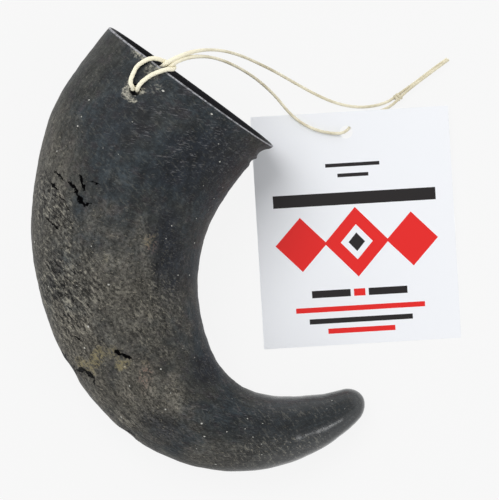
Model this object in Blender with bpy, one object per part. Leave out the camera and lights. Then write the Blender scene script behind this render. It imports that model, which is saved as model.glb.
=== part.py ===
"""A sawn buffalo horn with its string tie and card tag, lying on its side.

The horn is one hollow piece. One string is hitched through a hole drilled near the sawn mouth,
passes through the tag's hole, and is knotted to itself beyond the tag. Metres, +Z up.
The origin is under the middle of the horn's box, on the surface that all of it lies on.
"""

import math

import bmesh
import bpy
import numpy as np
from mathutils import Matrix, Vector, noise

# Sections of the horn from the sawn mouth to the tip: where the outer and the inner side
# of the curve lie in plan, and how deep the horn is there from face to face.
HORN_SECTIONS = (
    # outer x, outer y, inner x, inner y, depth
    (-0.0334, 0.0849, 0.0286, 0.0396, 0.0570),
    (-0.0452, 0.0698, 0.0193, 0.0322, 0.0562),
    (-0.0560, 0.0508, 0.0099, 0.0197, 0.0550),
    (-0.0625, 0.0230, 0.0034, 0.0073, 0.0522),
    (-0.0634, 0.0040, 0.0009, -0.0016, 0.0500),
    (-0.0611, -0.0120, -0.0002, -0.0103, 0.0475),
    (-0.0566, -0.0274, 0.0000, -0.0181, 0.0446),
    (-0.0500, -0.0428, 0.0014, -0.0268, 0.0412),
    (-0.0395, -0.0578, 0.0036, -0.0344, 0.0372),
    (-0.0209, -0.0742, 0.0082, -0.0440, 0.0322),
    (-0.0044, -0.0816, 0.0138, -0.0501, 0.0288),
    (0.0160, -0.0845, 0.0209, -0.0540, 0.0258),
    (0.0350, -0.0814, 0.0318, -0.0560, 0.0218),
    (0.0480, -0.0755, 0.0414, -0.0556, 0.0182),
    (0.0576, -0.0688, 0.0505, -0.0546, 0.0148),
    (0.0658, -0.0606, 0.0606, -0.0518, 0.0104),
)
TIP_ROUNDING = 0.0052  # length over which the blunt end closes
SQUARENESS = 2.3  # of a section, where 2 is an ellipse
MOUTH_LEAN = math.radians(4.0)  # the saw cut faces a little upwards
LEAN_REACH = 0.040  # how far from the mouth the sections lean to meet the cut

SIDES = 48
RINGS = 50
TIP_RINGS = 4
SHARP_EDGE = math.radians(35.0)

# The hollow that the bony core left
WALL_AT_MOUTH = 0.0032
WALL_DEEP = 0.0085
HOLLOW_LENGTH = 0.118
HOLLOW_ROUNDING = 0.032
HOLLOW_RINGS = 13
HOLLOW_END_RINGS = 5

# Relief of the outer face: low lumps, and the swells of each season's growth
LUMP_HEIGHT = 0.0007
LUMP_SIZE = 0.019
SWELL_HEIGHT = 0.00022
SWELL_SPACING = 0.0105
RIM_CALM = 0.006  # the relief fades out over this length at the saw cut
NEARLY_CLOSED = 0.05  # share of a section below which it has no relief

# The drilled hole for the string
HOLE_AT = (-0.0230, 0.0598)
HOLE_DIAMETER = 0.0048
HOLE_DEPTH = 0.012
HOLE_SIDES = 20

# Cracks and broken places on the upper face: both ends in plan, width and depth
CRACKS = (
    ("crack_long", (-0.0476, 0.0262), (-0.0417, 0.0168), 0.0011, 0.0010),
    ("crack_side", (-0.0564, 0.0132), (-0.0515, 0.0084), 0.0010, 0.0008),
    ("crack_low", (-0.0306, -0.0372), (-0.0246, -0.0404), 0.0012, 0.0010),
    ("ledge", (-0.0458, -0.0452), (-0.0392, -0.0482), 0.0034, 0.0013),
    ("dent", (-0.0312, -0.0545), (-0.0268, -0.0492), 0.0036, 0.0007),
)
# Chips at the sides and on the rim: where, their reach, and which way they run
CHIPS = (
    ("chip_outer", (-0.0484, -0.0455, 0.0200), (0.0042, 0.0016, 0.0060), 128.0),
    ("chip_low", (-0.0278, -0.0712, 0.0150), (0.0036, 0.0013, 0.0050), 146.0),
    ("chip_corner", (0.0262, 0.0368, 0.0250), (0.0036, 0.0013, 0.0060), 38.0),
    ("chip_corner_low", (0.0222, 0.0345, 0.0350), (0.0028, 0.0011, 0.0042), 44.0),
)

# The string, from one cut end, through the hitch at the horn's mouth, to the other
STRING_DIAMETER = 0.0014
STRING_ROUTE = (
    # the first end, through the knot, and along the surface past the tag
    (0.0960, 0.0744, 0.0008),
    (0.0894, 0.0696, 0.0008),
    (0.0832, 0.0649, 0.0008),
    (0.0793, 0.0621, 0.0009),
    (0.0767, 0.0602, 0.0010),
    (0.0738, 0.0582, 0.0008),
    (0.0681, 0.0562, 0.0008),
    (0.0611, 0.0557, 0.0008),
    (0.0542, 0.0569, 0.0008),
    (0.0476, 0.0594, 0.0008),
    (0.0414, 0.0625, 0.0015),
    (0.0355, 0.0656, 0.0055),
    # up to the mouth, over the loop and in under the rim
    (0.0293, 0.0687, 0.0125),
    (0.0231, 0.0713, 0.0215),
    (0.0163, 0.0737, 0.0315),
    (0.0096, 0.0750, 0.0410),
    (0.0033, 0.0749, 0.0490),
    (-0.0022, 0.0737, 0.0542),
    (-0.0070, 0.0718, 0.0567),
    (-0.0098, 0.0704, 0.0570),
    (-0.0115, 0.0694, 0.0562),
    (-0.0125, 0.0688, 0.0540),
    (-0.0134, 0.0683, 0.0512),
    (-0.0151, 0.0667, 0.0500),
    (-0.0180, 0.0640, 0.0494),
    (-0.0209, 0.0616, 0.0494),
    # out through the hole, and round as the loop over the rim
    (-0.0230, 0.0605, 0.0506),
    (-0.0236, 0.0603, 0.0532),
    (-0.0240, 0.0608, 0.0562),
    (-0.0243, 0.0626, 0.0568),
    (-0.0240, 0.0653, 0.0560),
    (-0.0224, 0.0681, 0.0556),
    (-0.0198, 0.0702, 0.0558),
    (-0.0170, 0.0713, 0.0562),
    (-0.0142, 0.0711, 0.0554),
    (-0.0118, 0.0704, 0.0543),
    (-0.0098, 0.0697, 0.0536),
    (-0.0085, 0.0686, 0.0540),
    (-0.0088, 0.0674, 0.0558),
    (-0.0108, 0.0670, 0.0575),
    (-0.0135, 0.0665, 0.0576),
    (-0.0165, 0.0653, 0.0572),
    (-0.0191, 0.0636, 0.0570),
    (-0.0210, 0.0618, 0.0572),
    (-0.0220, 0.0603, 0.0562),
    (-0.0221, 0.0595, 0.0534),
    (-0.0217, 0.0590, 0.0507),
    # back in under the rim, over the loop and down
    (-0.0193, 0.0597, 0.0494),
    (-0.0165, 0.0622, 0.0494),
    (-0.0137, 0.0649, 0.0498),
    (-0.0119, 0.0670, 0.0512),
    (-0.0109, 0.0681, 0.0537),
    (-0.0097, 0.0688, 0.0558),
    (-0.0076, 0.0700, 0.0564),
    (-0.0041, 0.0715, 0.0550),
    (0.0003, 0.0723, 0.0516),
    (0.0051, 0.0723, 0.0460),
    (0.0103, 0.0712, 0.0386),
    (0.0155, 0.0692, 0.0300),
    (0.0208, 0.0664, 0.0210),
    (0.0258, 0.0628, 0.0130),
    (0.0305, 0.0583, 0.0074),
    # onto the tag, down through its hole, out behind it and to the other end
    (0.0348, 0.0534, 0.0046),
    (0.0394, 0.0496, 0.0037),
    (0.0448, 0.0469, 0.0036),
    (0.0502, 0.0456, 0.0036),
    (0.0541, 0.0454, 0.0037),
    (0.0565, 0.0461, 0.0023),
    (0.0584, 0.0479, 0.0010),
    (0.0612, 0.0504, 0.0008),
    (0.0650, 0.0525, 0.0008),
    (0.0697, 0.0540, 0.0008),
    (0.0740, 0.0560, 0.0012),
    (0.0772, 0.0587, 0.0022),
    (0.0798, 0.0612, 0.0022),
    (0.0836, 0.0643, 0.0022),
    (0.0898, 0.0690, 0.0022),
    (0.0966, 0.0740, 0.0021),
)
TURN_BETWEEN_POINTS = math.radians(24.0)  # a bend gets a point at each of these
STRAIGHT_BETWEEN_POINTS = 0.0105
FINE_STEPS = 4000  # the route is followed in these to choose its points

# The knot's wraps, drawn up into one lump round both strands
KNOT_AT = (0.0770, 0.0595, 0.0016)
KNOT_REACH = (0.0021, 0.0015, 0.0015)
KNOT_TURN = math.radians(38.0)

# The card tag, its lower edge on the surface and its upper edge on the string behind it
TAG_WIDTH = 0.0765
TAG_HEIGHT = 0.0900
TAG_THICKNESS = 0.00045
TAG_MIDDLE = (0.0607, 0.0090)
TAG_TURN = math.radians(3.4)
TAG_RISE = 0.0022
TAG_HOLE_DIAMETER = 0.0050
TAG_HOLE_AT = (-0.0016, 0.0371)  # from the tag's middle, across and up the card
TAG_HOLE_SIDES = 24
PUNCH_DEPTH = 0.0036  # runs well past both faces of the card


def clear_scene():
    for old in list(bpy.data.objects):
        bpy.data.objects.remove(old)


def make_material(name, colour, roughness):
    material = bpy.data.materials.new(name)
    material.use_nodes = True
    shader = material.node_tree.nodes["Principled BSDF"]
    shader.inputs["Base Color"].default_value = (*colour, 1.0)
    shader.inputs["Roughness"].default_value = roughness
    shader.inputs["Metallic"].default_value = 0.0
    return material


def make_object(name, mesh, material=None):
    thing = bpy.data.objects.new(name, mesh)
    bpy.context.scene.collection.objects.link(thing)
    if material:
        mesh.materials.append(material)
    return thing


def object_from_bmesh(name, bm, material=None):
    bmesh.ops.recalc_face_normals(bm, faces=bm.faces)
    mesh = bpy.data.meshes.new(name)
    bm.to_mesh(mesh)
    bm.free()
    return make_object(name, mesh, material)


def cut_with(thing, cutter, operation="DIFFERENCE"):
    """Cut or join with a guide that is itself left out of the model."""
    modifier = thing.modifiers.new(cutter.name, "BOOLEAN")
    modifier.object = cutter
    modifier.operation = operation
    modifier.solver = "EXACT"
    cutter.hide_render = True
    cutter.display_type = "WIRE"


def smooth_curve(points, places=None):
    """A natural cubic spline through the points, as (total length, function of length).

    The length is measured on the points, or on the places given for them.
    """
    points = np.array(points)
    steps = np.linalg.norm(np.diff(points if places is None else places, axis=0), axis=1)
    knots = np.concatenate([[0.0], np.cumsum(steps)])
    count = len(knots)
    system = np.eye(count)
    right = np.zeros(points.shape)
    for i in range(1, count - 1):
        system[i, i - 1] = steps[i - 1]
        system[i, i] = 2 * (steps[i - 1] + steps[i])
        system[i, i + 1] = steps[i]
        slope_after = (points[i + 1] - points[i]) / steps[i]
        slope_before = (points[i] - points[i - 1]) / steps[i - 1]
        right[i] = 6 * (slope_after - slope_before)
    bend = np.linalg.solve(system, right)

    def read(along):
        i = int(np.clip(np.searchsorted(knots, along) - 1, 0, count - 2))
        gap = steps[i]
        before = along - knots[i]
        after = knots[i + 1] - along
        return (
            (bend[i] * after**3 + bend[i + 1] * before**3) / (6 * gap)
            + (points[i] / gap - bend[i] * gap / 6) * after
            + (points[i + 1] / gap - bend[i + 1] * gap / 6) * before
        )

    return float(knots[-1]), read


def superellipse(angle):
    """A point on a unit section, across and up."""
    power = 2.0 / SQUARENESS
    across = math.copysign(abs(math.cos(angle)) ** power, math.cos(angle))
    up = math.copysign(abs(math.sin(angle)) ** power, math.sin(angle))
    return across, up


def closing(along, end, reach):
    """How much of a section is left where a round end closes."""
    into_end = max(0.0, (along - end + reach) / reach)
    return math.sqrt(max(0.0, 1.0 - into_end**2))


class HornForm:
    """The horn's sections, read at a distance from the mouth."""

    def __init__(self):
        table = np.array(HORN_SECTIONS)
        middles = (table[:, 0:2] + table[:, 2:4]) / 2
        self.length, self.read = smooth_curve(table, middles)

    def section(self, along):
        """(middle, way across, way up, half width, half depth) at that distance."""
        outer_x, outer_y, inner_x, inner_y, depth = self.read(along)
        outer = Vector((outer_x, outer_y, 0.0))
        inner = Vector((inner_x, inner_y, 0.0))
        across = (inner - outer).normalized()
        to_mouth = Vector((0.0, 0.0, 1.0)).cross(across)
        lean = MOUTH_LEAN * max(0.0, 1.0 - along / LEAN_REACH)
        up = Vector((0.0, 0.0, math.cos(lean))) - to_mouth * math.sin(lean)
        middle = (outer + inner) / 2 + Vector((0.0, 0.0, depth / 2 * math.cos(lean)))
        return middle, across, up, (inner - outer).length / 2, depth / 2

    def outer_point(self, along, angle):
        middle, across, up, half_width, half_depth = self.section(along)
        x, y = superellipse(angle)
        left = closing(along, self.length, TIP_ROUNDING)
        point = middle + across * (x * half_width * left) + up * (y * half_depth * left)
        outwards = (point - middle).normalized() if left > NEARLY_CLOSED else Vector()
        calm = min(1.0, along / RIM_CALM)
        lump = LUMP_HEIGHT * noise.noise(point / LUMP_SIZE)
        swell = SWELL_HEIGHT * math.sin(2 * math.pi * along / SWELL_SPACING)
        return point + outwards * ((lump + swell) * calm * left)

    def hollow_point(self, along, angle):
        middle, across, up, half_width, half_depth = self.section(along)
        x, y = superellipse(angle)
        share = along / HOLLOW_LENGTH
        wall = WALL_AT_MOUTH + (WALL_DEEP - WALL_AT_MOUTH) * share**1.5
        left = closing(along, HOLLOW_LENGTH, HOLLOW_ROUNDING)
        half_width = (half_width - wall) * left
        half_depth = (half_depth - wall) * left
        return middle + across * (x * half_width) + up * (y * half_depth)


def ring_places(end, reach, rings, end_rings):
    """Distances of the rings: even ones, then closer ones where the end rounds off."""
    straight = end - reach
    places = [straight * i / rings for i in range(rings + 1)]
    for i in range(1, end_rings):
        places.append(straight + reach * math.sin(math.pi / 2 * i / end_rings))
    return places


def add_skin(bm, places, point_at, end_point):
    """A tube of rings that closes at its far end. Returns its first ring."""
    rings = []
    for along in places:
        ring = []
        for i in range(SIDES):
            ring.append(bm.verts.new(point_at(along, 2 * math.pi * i / SIDES)))
        rings.append(ring)
    for ring, further in zip(rings, rings[1:]):
        for i in range(SIDES):
            j = (i + 1) % SIDES
            bm.faces.new((ring[i], ring[j], further[j], further[i]))
    pole = bm.verts.new(end_point)
    for i in range(SIDES):
        bm.faces.new((rings[-1][i], rings[-1][(i + 1) % SIDES], pole))
    return rings[0]


def make_horn(material):
    form = HornForm()
    bm = bmesh.new()
    outer_places = ring_places(form.length, TIP_ROUNDING, RINGS, TIP_RINGS)
    outer_rim = add_skin(bm, outer_places, form.outer_point, form.section(form.length)[0])
    hollow_places = ring_places(HOLLOW_LENGTH, HOLLOW_ROUNDING, HOLLOW_RINGS, HOLLOW_END_RINGS)
    hollow_end = form.section(HOLLOW_LENGTH)[0]
    inner_rim = add_skin(bm, hollow_places, form.hollow_point, hollow_end)
    for i in range(SIDES):
        j = (i + 1) % SIDES
        bm.faces.new((outer_rim[i], outer_rim[j], inner_rim[j], inner_rim[i]))
    lowest = min(vertex.co.z for vertex in bm.verts)
    bmesh.ops.translate(bm, vec=(0.0, 0.0, -lowest), verts=bm.verts)
    horn = object_from_bmesh("horn", bm, material)
    bpy.context.view_layer.update()

    cutters = [make_hole_cutter(horn)]
    cutters += [make_crack_cutter(horn, *crack) for crack in CRACKS]
    cutters += [make_chip_cutter(*chip) for chip in CHIPS]
    for cutter in cutters:
        cut_with(horn, cutter)
    horn.data.shade_smooth()
    horn.data.set_sharp_from_angle(angle=SHARP_EDGE)
    return horn


def top_of(thing, x, y):
    """The thing's upper face above a place in plan, and its normal there."""
    _, location, normal, _ = thing.ray_cast(Vector((x, y, 1.0)), Vector((0.0, 0.0, -1.0)))
    return location, normal


def make_hole_cutter(horn):
    location, normal = top_of(horn, *HOLE_AT)
    bm = bmesh.new()
    radius = HOLE_DIAMETER / 2
    bmesh.ops.create_cone(
        bm, cap_ends=True, segments=HOLE_SIDES, radius1=radius, radius2=radius, depth=HOLE_DEPTH
    )
    turn = normal.to_track_quat("Z", "Y").to_matrix().to_4x4()
    bmesh.ops.transform(bm, matrix=Matrix.Translation(location) @ turn, verts=bm.verts)
    return object_from_bmesh("string_hole", bm)


def make_crack_cutter(horn, name, start, end, width, depth):
    """A thin lens across the face, as deep in it as the crack."""
    first, first_normal = top_of(horn, *start)
    last, last_normal = top_of(horn, *end)
    along = last - first
    normal = (first_normal + last_normal).normalized()
    across = normal.cross(along).normalized()
    normal = along.cross(across).normalized()
    bm = bmesh.new()
    bmesh.ops.create_icosphere(bm, subdivisions=1, radius=1.0)
    shape = Matrix.Diagonal((along.length / 2, width / 2, depth, 1.0))
    axes = Matrix((along.normalized(), across, normal)).transposed().to_4x4()
    place = Matrix.Translation((first + last) / 2)
    bmesh.ops.transform(bm, matrix=place @ axes @ shape, verts=bm.verts)
    return object_from_bmesh(name, bm)


def make_chip_cutter(name, middle, reach, turn_degrees):
    bm = bmesh.new()
    bmesh.ops.create_icosphere(bm, subdivisions=1, radius=1.0)
    shape = Matrix.Diagonal((*reach, 1.0))
    turn = Matrix.Rotation(math.radians(turn_degrees), 4, "Z")
    bmesh.ops.transform(bm, matrix=Matrix.Translation(middle) @ turn @ shape, verts=bm.verts)
    return object_from_bmesh(name, bm)


def string_points():
    """Points along the string's smooth route, closer together where it bends."""
    length, read = smooth_curve(STRING_ROUTE)
    fine = [Vector(read(length * i / FINE_STEPS)) for i in range(FINE_STEPS + 1)]
    points = [fine[0]]
    turned = 0.0
    travelled = 0.0
    for before, here, after in zip(fine, fine[1:], fine[2:]):
        turned += (here - before).angle(after - here)
        travelled += (here - before).length
        if turned > TURN_BETWEEN_POINTS or travelled > STRAIGHT_BETWEEN_POINTS:
            points.append(here)
            turned = 0.0
            travelled = 0.0
    points.append(fine[-1])
    return points


def make_string(material):
    curve = bpy.data.curves.new("string_route", "CURVE")
    curve.dimensions = "3D"
    curve.bevel_depth = STRING_DIAMETER / 2
    curve.bevel_resolution = 2
    curve.use_fill_caps = True
    points = string_points()
    spline = curve.splines.new("POLY")
    spline.points.add(len(points) - 1)
    for spot, point in zip(spline.points, points):
        spot.co = (*point, 1.0)
    route = make_object("string_route", curve)
    route.hide_render = True
    bpy.context.view_layer.update()
    tube = route.evaluated_get(bpy.context.evaluated_depsgraph_get())
    mesh = bpy.data.meshes.new_from_object(tube)
    bpy.data.objects.remove(route)
    string = make_object("string", mesh, material)

    bm = bmesh.new()
    bmesh.ops.create_icosphere(bm, subdivisions=2, radius=1.0)
    shape = Matrix.Diagonal((*KNOT_REACH, 1.0))
    turn = Matrix.Rotation(KNOT_TURN, 4, "Z")
    bmesh.ops.transform(bm, matrix=Matrix.Translation(KNOT_AT) @ turn @ shape, verts=bm.verts)
    cut_with(string, object_from_bmesh("knot_lump", bm), "UNION")
    mesh.shade_smooth()
    return string


def make_tag(material):
    bm = bmesh.new()
    bmesh.ops.create_cube(bm, size=1.0)
    size = Matrix.Diagonal((TAG_WIDTH, TAG_HEIGHT, TAG_THICKNESS, 1.0))
    bmesh.ops.transform(bm, matrix=size, verts=bm.verts)
    tag = object_from_bmesh("tag", bm, material)

    bm = bmesh.new()
    radius = TAG_HOLE_DIAMETER / 2
    bmesh.ops.create_cone(
        bm, cap_ends=True, segments=TAG_HOLE_SIDES, radius1=radius, radius2=radius, depth=PUNCH_DEPTH
    )
    bmesh.ops.translate(bm, vec=(*TAG_HOLE_AT, 0.0), verts=bm.verts)
    punch = object_from_bmesh("tag_hole", bm)
    punch.parent = tag
    cut_with(tag, punch)

    tilt = math.asin(TAG_RISE / TAG_HEIGHT)
    height = TAG_RISE / 2 + TAG_THICKNESS / 2 * math.cos(tilt)
    tag.rotation_euler = (tilt, 0.0, TAG_TURN)
    tag.location = (*TAG_MIDDLE, height)
    return tag


def main():
    clear_scene()
    make_horn(make_material("dark_horn", (0.034, 0.035, 0.037), 0.55))
    make_string(make_material("cotton_string", (0.78, 0.73, 0.60), 0.9))
    make_tag(make_material("white_card", (0.83, 0.84, 0.85), 0.6))


main()
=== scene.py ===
import math

import bmesh
import bpy
import numpy as np
from mathutils import Matrix, Vector, noise
from mathutils.kdtree import KDTree


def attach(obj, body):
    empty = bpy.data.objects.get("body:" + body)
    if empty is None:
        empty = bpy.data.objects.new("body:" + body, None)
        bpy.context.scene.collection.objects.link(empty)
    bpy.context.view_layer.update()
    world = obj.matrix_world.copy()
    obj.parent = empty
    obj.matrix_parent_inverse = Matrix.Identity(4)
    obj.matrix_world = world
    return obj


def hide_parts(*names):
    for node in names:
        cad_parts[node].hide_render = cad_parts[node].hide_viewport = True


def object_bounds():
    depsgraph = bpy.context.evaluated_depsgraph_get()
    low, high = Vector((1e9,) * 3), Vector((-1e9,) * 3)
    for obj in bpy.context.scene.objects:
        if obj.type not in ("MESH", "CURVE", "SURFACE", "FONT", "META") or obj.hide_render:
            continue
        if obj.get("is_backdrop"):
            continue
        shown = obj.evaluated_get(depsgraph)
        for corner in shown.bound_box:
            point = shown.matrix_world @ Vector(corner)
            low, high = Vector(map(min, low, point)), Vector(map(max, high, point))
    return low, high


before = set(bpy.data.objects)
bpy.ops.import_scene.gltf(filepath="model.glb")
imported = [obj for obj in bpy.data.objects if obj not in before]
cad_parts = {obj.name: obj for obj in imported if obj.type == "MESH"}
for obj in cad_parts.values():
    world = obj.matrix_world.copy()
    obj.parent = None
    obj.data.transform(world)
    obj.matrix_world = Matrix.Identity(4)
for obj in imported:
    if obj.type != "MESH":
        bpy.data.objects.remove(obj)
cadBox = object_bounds()


# Helpers

def linearColour(hexColour):
    # sRGB hex to the linear values that the shaders expect
    values = []
    for i in (0, 2, 4):
        c = int(hexColour[i:i + 2], 16) / 255
        values.append(c / 12.92 if c <= 0.04045 else ((c + 0.055) / 1.055) ** 2.4)
    return (*values, 1.0)


def addNode(tree, kind, settings=None, inputs=None):
    # one node, its settings, and its sockets given as values or as other nodes' outputs
    node = tree.nodes.new(kind)
    for name, value in (settings or {}).items():
        setattr(node, name, value)
    for name, value in (inputs or {}).items():
        socket = node.inputs[name]
        if isinstance(value, bpy.types.NodeSocket):
            tree.links.new(value, socket)
        else:
            socket.default_value = value
    return node


def newMaterial(name):
    material = bpy.data.materials.new(name)
    material.use_nodes = True
    tree = material.node_tree
    return material, tree, tree.nodes["Principled BSDF"]


def shaderTools(tree):
    # the kinds of node that the materials use most, each giving the socket it ends in
    def maths(operation, first, second=0.0, clamp=False):
        return addNode(tree, "ShaderNodeMath", {"operation": operation, "use_clamp": clamp}, {
            0: first, 1: second}).outputs["Value"]

    def remap(value, low, high, toLow=0.0, toHigh=1.0, easing="SMOOTHSTEP"):
        return addNode(tree, "ShaderNodeMapRange", {"interpolation_type": easing}, {
            "Value": value, "From Min": low, "From Max": high, "To Min": toLow, "To Max": toHigh,
        }).outputs["Result"]

    def mixed(factor, first, second, blend="MIX"):
        return addNode(tree, "ShaderNodeMix", {"data_type": "RGBA", "blend_type": blend}, {
            "Factor": factor, "A": first, "B": second}).outputs["Result"]

    def vectors(operation, first, second=(0.0, 0.0, 0.0), output="Vector"):
        return addNode(tree, "ShaderNodeVectorMath", {"operation": operation}, {
            0: first, 1: second}).outputs[output]

    return maths, remap, mixed, vectors


def newPiece(name, bm, material):
    mesh = bpy.data.meshes.new(name)
    bm.to_mesh(mesh)
    bm.free()
    mesh.materials.append(material)
    mesh.shade_smooth()
    piece = bpy.data.objects.new(name, mesh)
    bpy.context.scene.collection.objects.link(piece)
    return piece


def smoothStep(value, low, high):
    t = np.clip((value - low) / (high - low), 0.0, 1.0)
    return t * t * (3 - 2 * t)


def smoothCurve(points, places=None):
    # natural cubic spline: the distance of each point along it, and a function of distance
    points = np.array(points, float)
    steps = np.linalg.norm(np.diff(points if places is None else places, axis=0), axis=1)
    knots = np.concatenate([[0.0], np.cumsum(steps)])
    count = len(knots)
    system = np.eye(count)
    right = np.zeros(points.shape)
    for i in range(1, count - 1):
        system[i, i - 1] = steps[i - 1]
        system[i, i] = 2 * (steps[i - 1] + steps[i])
        system[i, i + 1] = steps[i]
        after = (points[i + 1] - points[i]) / steps[i]
        before = (points[i] - points[i - 1]) / steps[i - 1]
        right[i] = 6 * (after - before)
    bend = np.linalg.solve(system, right)

    def read(along):
        i = int(np.clip(np.searchsorted(knots, along) - 1, 0, count - 2))
        gap = steps[i]
        a = along - knots[i]
        b = knots[i + 1] - along
        cubic = (bend[i] * b ** 3 + bend[i + 1] * a ** 3) / (6 * gap)
        left = (points[i] / gap - bend[i] * gap / 6) * b
        return cubic + left + (points[i + 1] / gap - bend[i + 1] * gap / 6) * a

    return knots, read


def unitTube(sides, rings):
    # A straight tube of rings, one unit apart. Each point's place in it says which ring and
    # which angle it belongs to, and it is bent to its real form from those.
    bm = bmesh.new()
    bmesh.ops.create_circle(bm, cap_ends=False, segments=sides, radius=1.0)
    edges = bm.edges[:]
    for step in range(rings - 1):
        grown = bmesh.ops.extrude_edge_only(bm, edges=edges)["geom"]
        corners = [g for g in grown if isinstance(g, bmesh.types.BMVert)]
        edges = [g for g in grown if isinstance(g, bmesh.types.BMEdge)]
        bmesh.ops.translate(bm, vec=(0.0, 0.0, 1.0), verts=corners)
    return bm


def placesInTube(bm):
    labels = np.array([v.co for v in bm.verts])
    ring = np.rint(labels[:, 2]).astype(int)
    return ring, np.arctan2(labels[:, 1], labels[:, 0])


def placeVerts(bm, points):
    for vert, point in zip(bm.verts, points):
        vert.co = point


# Camera: straight above the table and far off, as the photo was taken
cameraSetup = {
    "height": 1.3,
    "middle": (0.0195, 0.0003),
    "sensor": 36.0,
    "metresPerPixel": 0.0003875,  # at the table
    "imageHeight": 500,
    "farthestSeen": 10,
}


def makeCamera():
    data = bpy.data.cameras.new("camera")
    data.sensor_fit = "VERTICAL"
    data.sensor_height = cameraSetup["sensor"]
    seen = cameraSetup["metresPerPixel"] * cameraSetup["imageHeight"]
    data.lens = cameraSetup["sensor"] * cameraSetup["height"] / seen
    data.clip_end = cameraSetup["farthestSeen"]
    camera = bpy.data.objects.new("camera", data)
    camera.location = (*cameraSetup["middle"], cameraSetup["height"])
    bpy.context.scene.collection.objects.link(camera)
    bpy.context.scene.camera = camera


makeCamera()
print("camera placed")


# The string: one cord of three yarns, from its cut end through the knot, over the loop and in
# under the horn's rim, up through the drilled hole, round as the loop, back in through the hole,
# out over the rim, down through the tag's hole, and through the knot to its other cut end.
# It is made in two lengths that meet inside the horn, where neither shows.
string = {
    "diameter": 0.0014,
    "hitchRadius": 0.00082,  # relaxed and full where it is looped
    "midRadius": 0.00057,
    "tailRadius": 0.00052,  # drawn thin beyond the knot
    "sides": 14,
    "ringSpacing": 0.0003,
    "twistLength": 0.0062,  # one turn of the three yarns
    "yarns": 3,
    "yarnDepth": 0.055,
    "route": [
        (0.0960, 0.0744, 0.0008), (0.0894, 0.0696, 0.0008), (0.0832, 0.0649, 0.0008),
        (0.0793, 0.0621, 0.0009), (0.0767, 0.0602, 0.0010), (0.0738, 0.0582, 0.0008),
        (0.0681, 0.0562, 0.0008), (0.0611, 0.0557, 0.0008), (0.0542, 0.0569, 0.0008),
        (0.0476, 0.0594, 0.0008), (0.0414, 0.0625, 0.0015), (0.0355, 0.0656, 0.0055),
        (0.0293, 0.0687, 0.0125), (0.0231, 0.0713, 0.0215), (0.0163, 0.0737, 0.0315),
        (0.0096, 0.0750, 0.0410), (0.0033, 0.0749, 0.0490), (-0.0022, 0.0737, 0.0542),
        (-0.0070, 0.0718, 0.0567), (-0.0098, 0.0704, 0.0570), (-0.0115, 0.0694, 0.0562),
        (-0.0125, 0.0688, 0.0540), (-0.0134, 0.0683, 0.0512), (-0.0151, 0.0667, 0.0500),
        (-0.0180, 0.0640, 0.0494), (-0.0215, 0.0616, 0.0492), (-0.0229, 0.0610, 0.0509),
        (-0.0239, 0.0602, 0.0528), (-0.0238, 0.0605, 0.0557), (-0.0245, 0.0621, 0.0570),
        (-0.0235, 0.0659, 0.0566), (-0.0224, 0.0681, 0.0556), (-0.0198, 0.0702, 0.0558),
        (-0.0170, 0.0713, 0.0562), (-0.0142, 0.0711, 0.0554), (-0.0115, 0.0702, 0.0538),
        (-0.0098, 0.0697, 0.0533), (-0.0085, 0.0685, 0.0541), (-0.0088, 0.0674, 0.0558),
        (-0.0105, 0.0673, 0.0571), (-0.0135, 0.0665, 0.0576), (-0.0165, 0.0653, 0.0572),
        (-0.0191, 0.0636, 0.0570), (-0.0210, 0.0618, 0.0572), (-0.0220, 0.0603, 0.0562),
        (-0.0221, 0.0595, 0.0534), (-0.0217, 0.0590, 0.0507), (-0.0193, 0.0597, 0.0494),
        (-0.0165, 0.0622, 0.0494), (-0.0137, 0.0649, 0.0498), (-0.0119, 0.0670, 0.0512),
        (-0.0109, 0.0681, 0.0537), (-0.0097, 0.0688, 0.0558), (-0.0076, 0.0700, 0.0564),
        (-0.0041, 0.0715, 0.0550), (0.0003, 0.0723, 0.0516), (0.0051, 0.0723, 0.0460),
        (0.0103, 0.0712, 0.0386), (0.0155, 0.0692, 0.0300), (0.0208, 0.0664, 0.0210),
        (0.0258, 0.0628, 0.0130), (0.0305, 0.0583, 0.0074), (0.0348, 0.0534, 0.0046),
        (0.0394, 0.0496, 0.0037), (0.0448, 0.0469, 0.0036), (0.0502, 0.0456, 0.0036),
        (0.0541, 0.0454, 0.0037), (0.0565, 0.0461, 0.0023), (0.0584, 0.0479, 0.0010),
        (0.0612, 0.0504, 0.0008), (0.0650, 0.0525, 0.0008), (0.0697, 0.0540, 0.0008),
        (0.0740, 0.0560, 0.0012), (0.0772, 0.0587, 0.0022), (0.0798, 0.0612, 0.0022),
        (0.0836, 0.0643, 0.0022), (0.0898, 0.0690, 0.0022), (0.0966, 0.0740, 0.0021),
    ],
    "meetingPoint": 25,  # in the route, inside the horn under the hole
    "rimExit": (-0.0125, 0.0688, 0.0540),
    "holeExit": (-0.0238, 0.0605, 0.0557),
    # where its thickness and its colour change, along X
    "hitchStart": 0.006,
    "hitchFull": -0.004,
    "tailStart": 0.070,
    "tailFull": 0.080,
    "handledFrom": -0.010,
    "handledFull": 0.012,
    # its look, with scales in repeats a metre
    "clean": "f4eed6",
    "handled": "cdc4a8",
    "stainScale": 170.0,
    "fibreScale": 2600.0,
    "fibreHeight": 0.0002,
}

# The knot's wraps round both strands
knot = {
    "middle": (0.0770, 0.0595, 0.0016),
    "turn": math.radians(38.0),
    "turns": 2.15,
    "length": 0.0024,
    "acrossRadius": 0.00105,
    "upRadius": 0.0010,
    "cordRadius": 0.00056,
    "steps": 60,
    # its two ends tuck in under the other turns
    "tuckedReach": 0.55,
    "tuckShare": 1 / 8,
}


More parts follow.
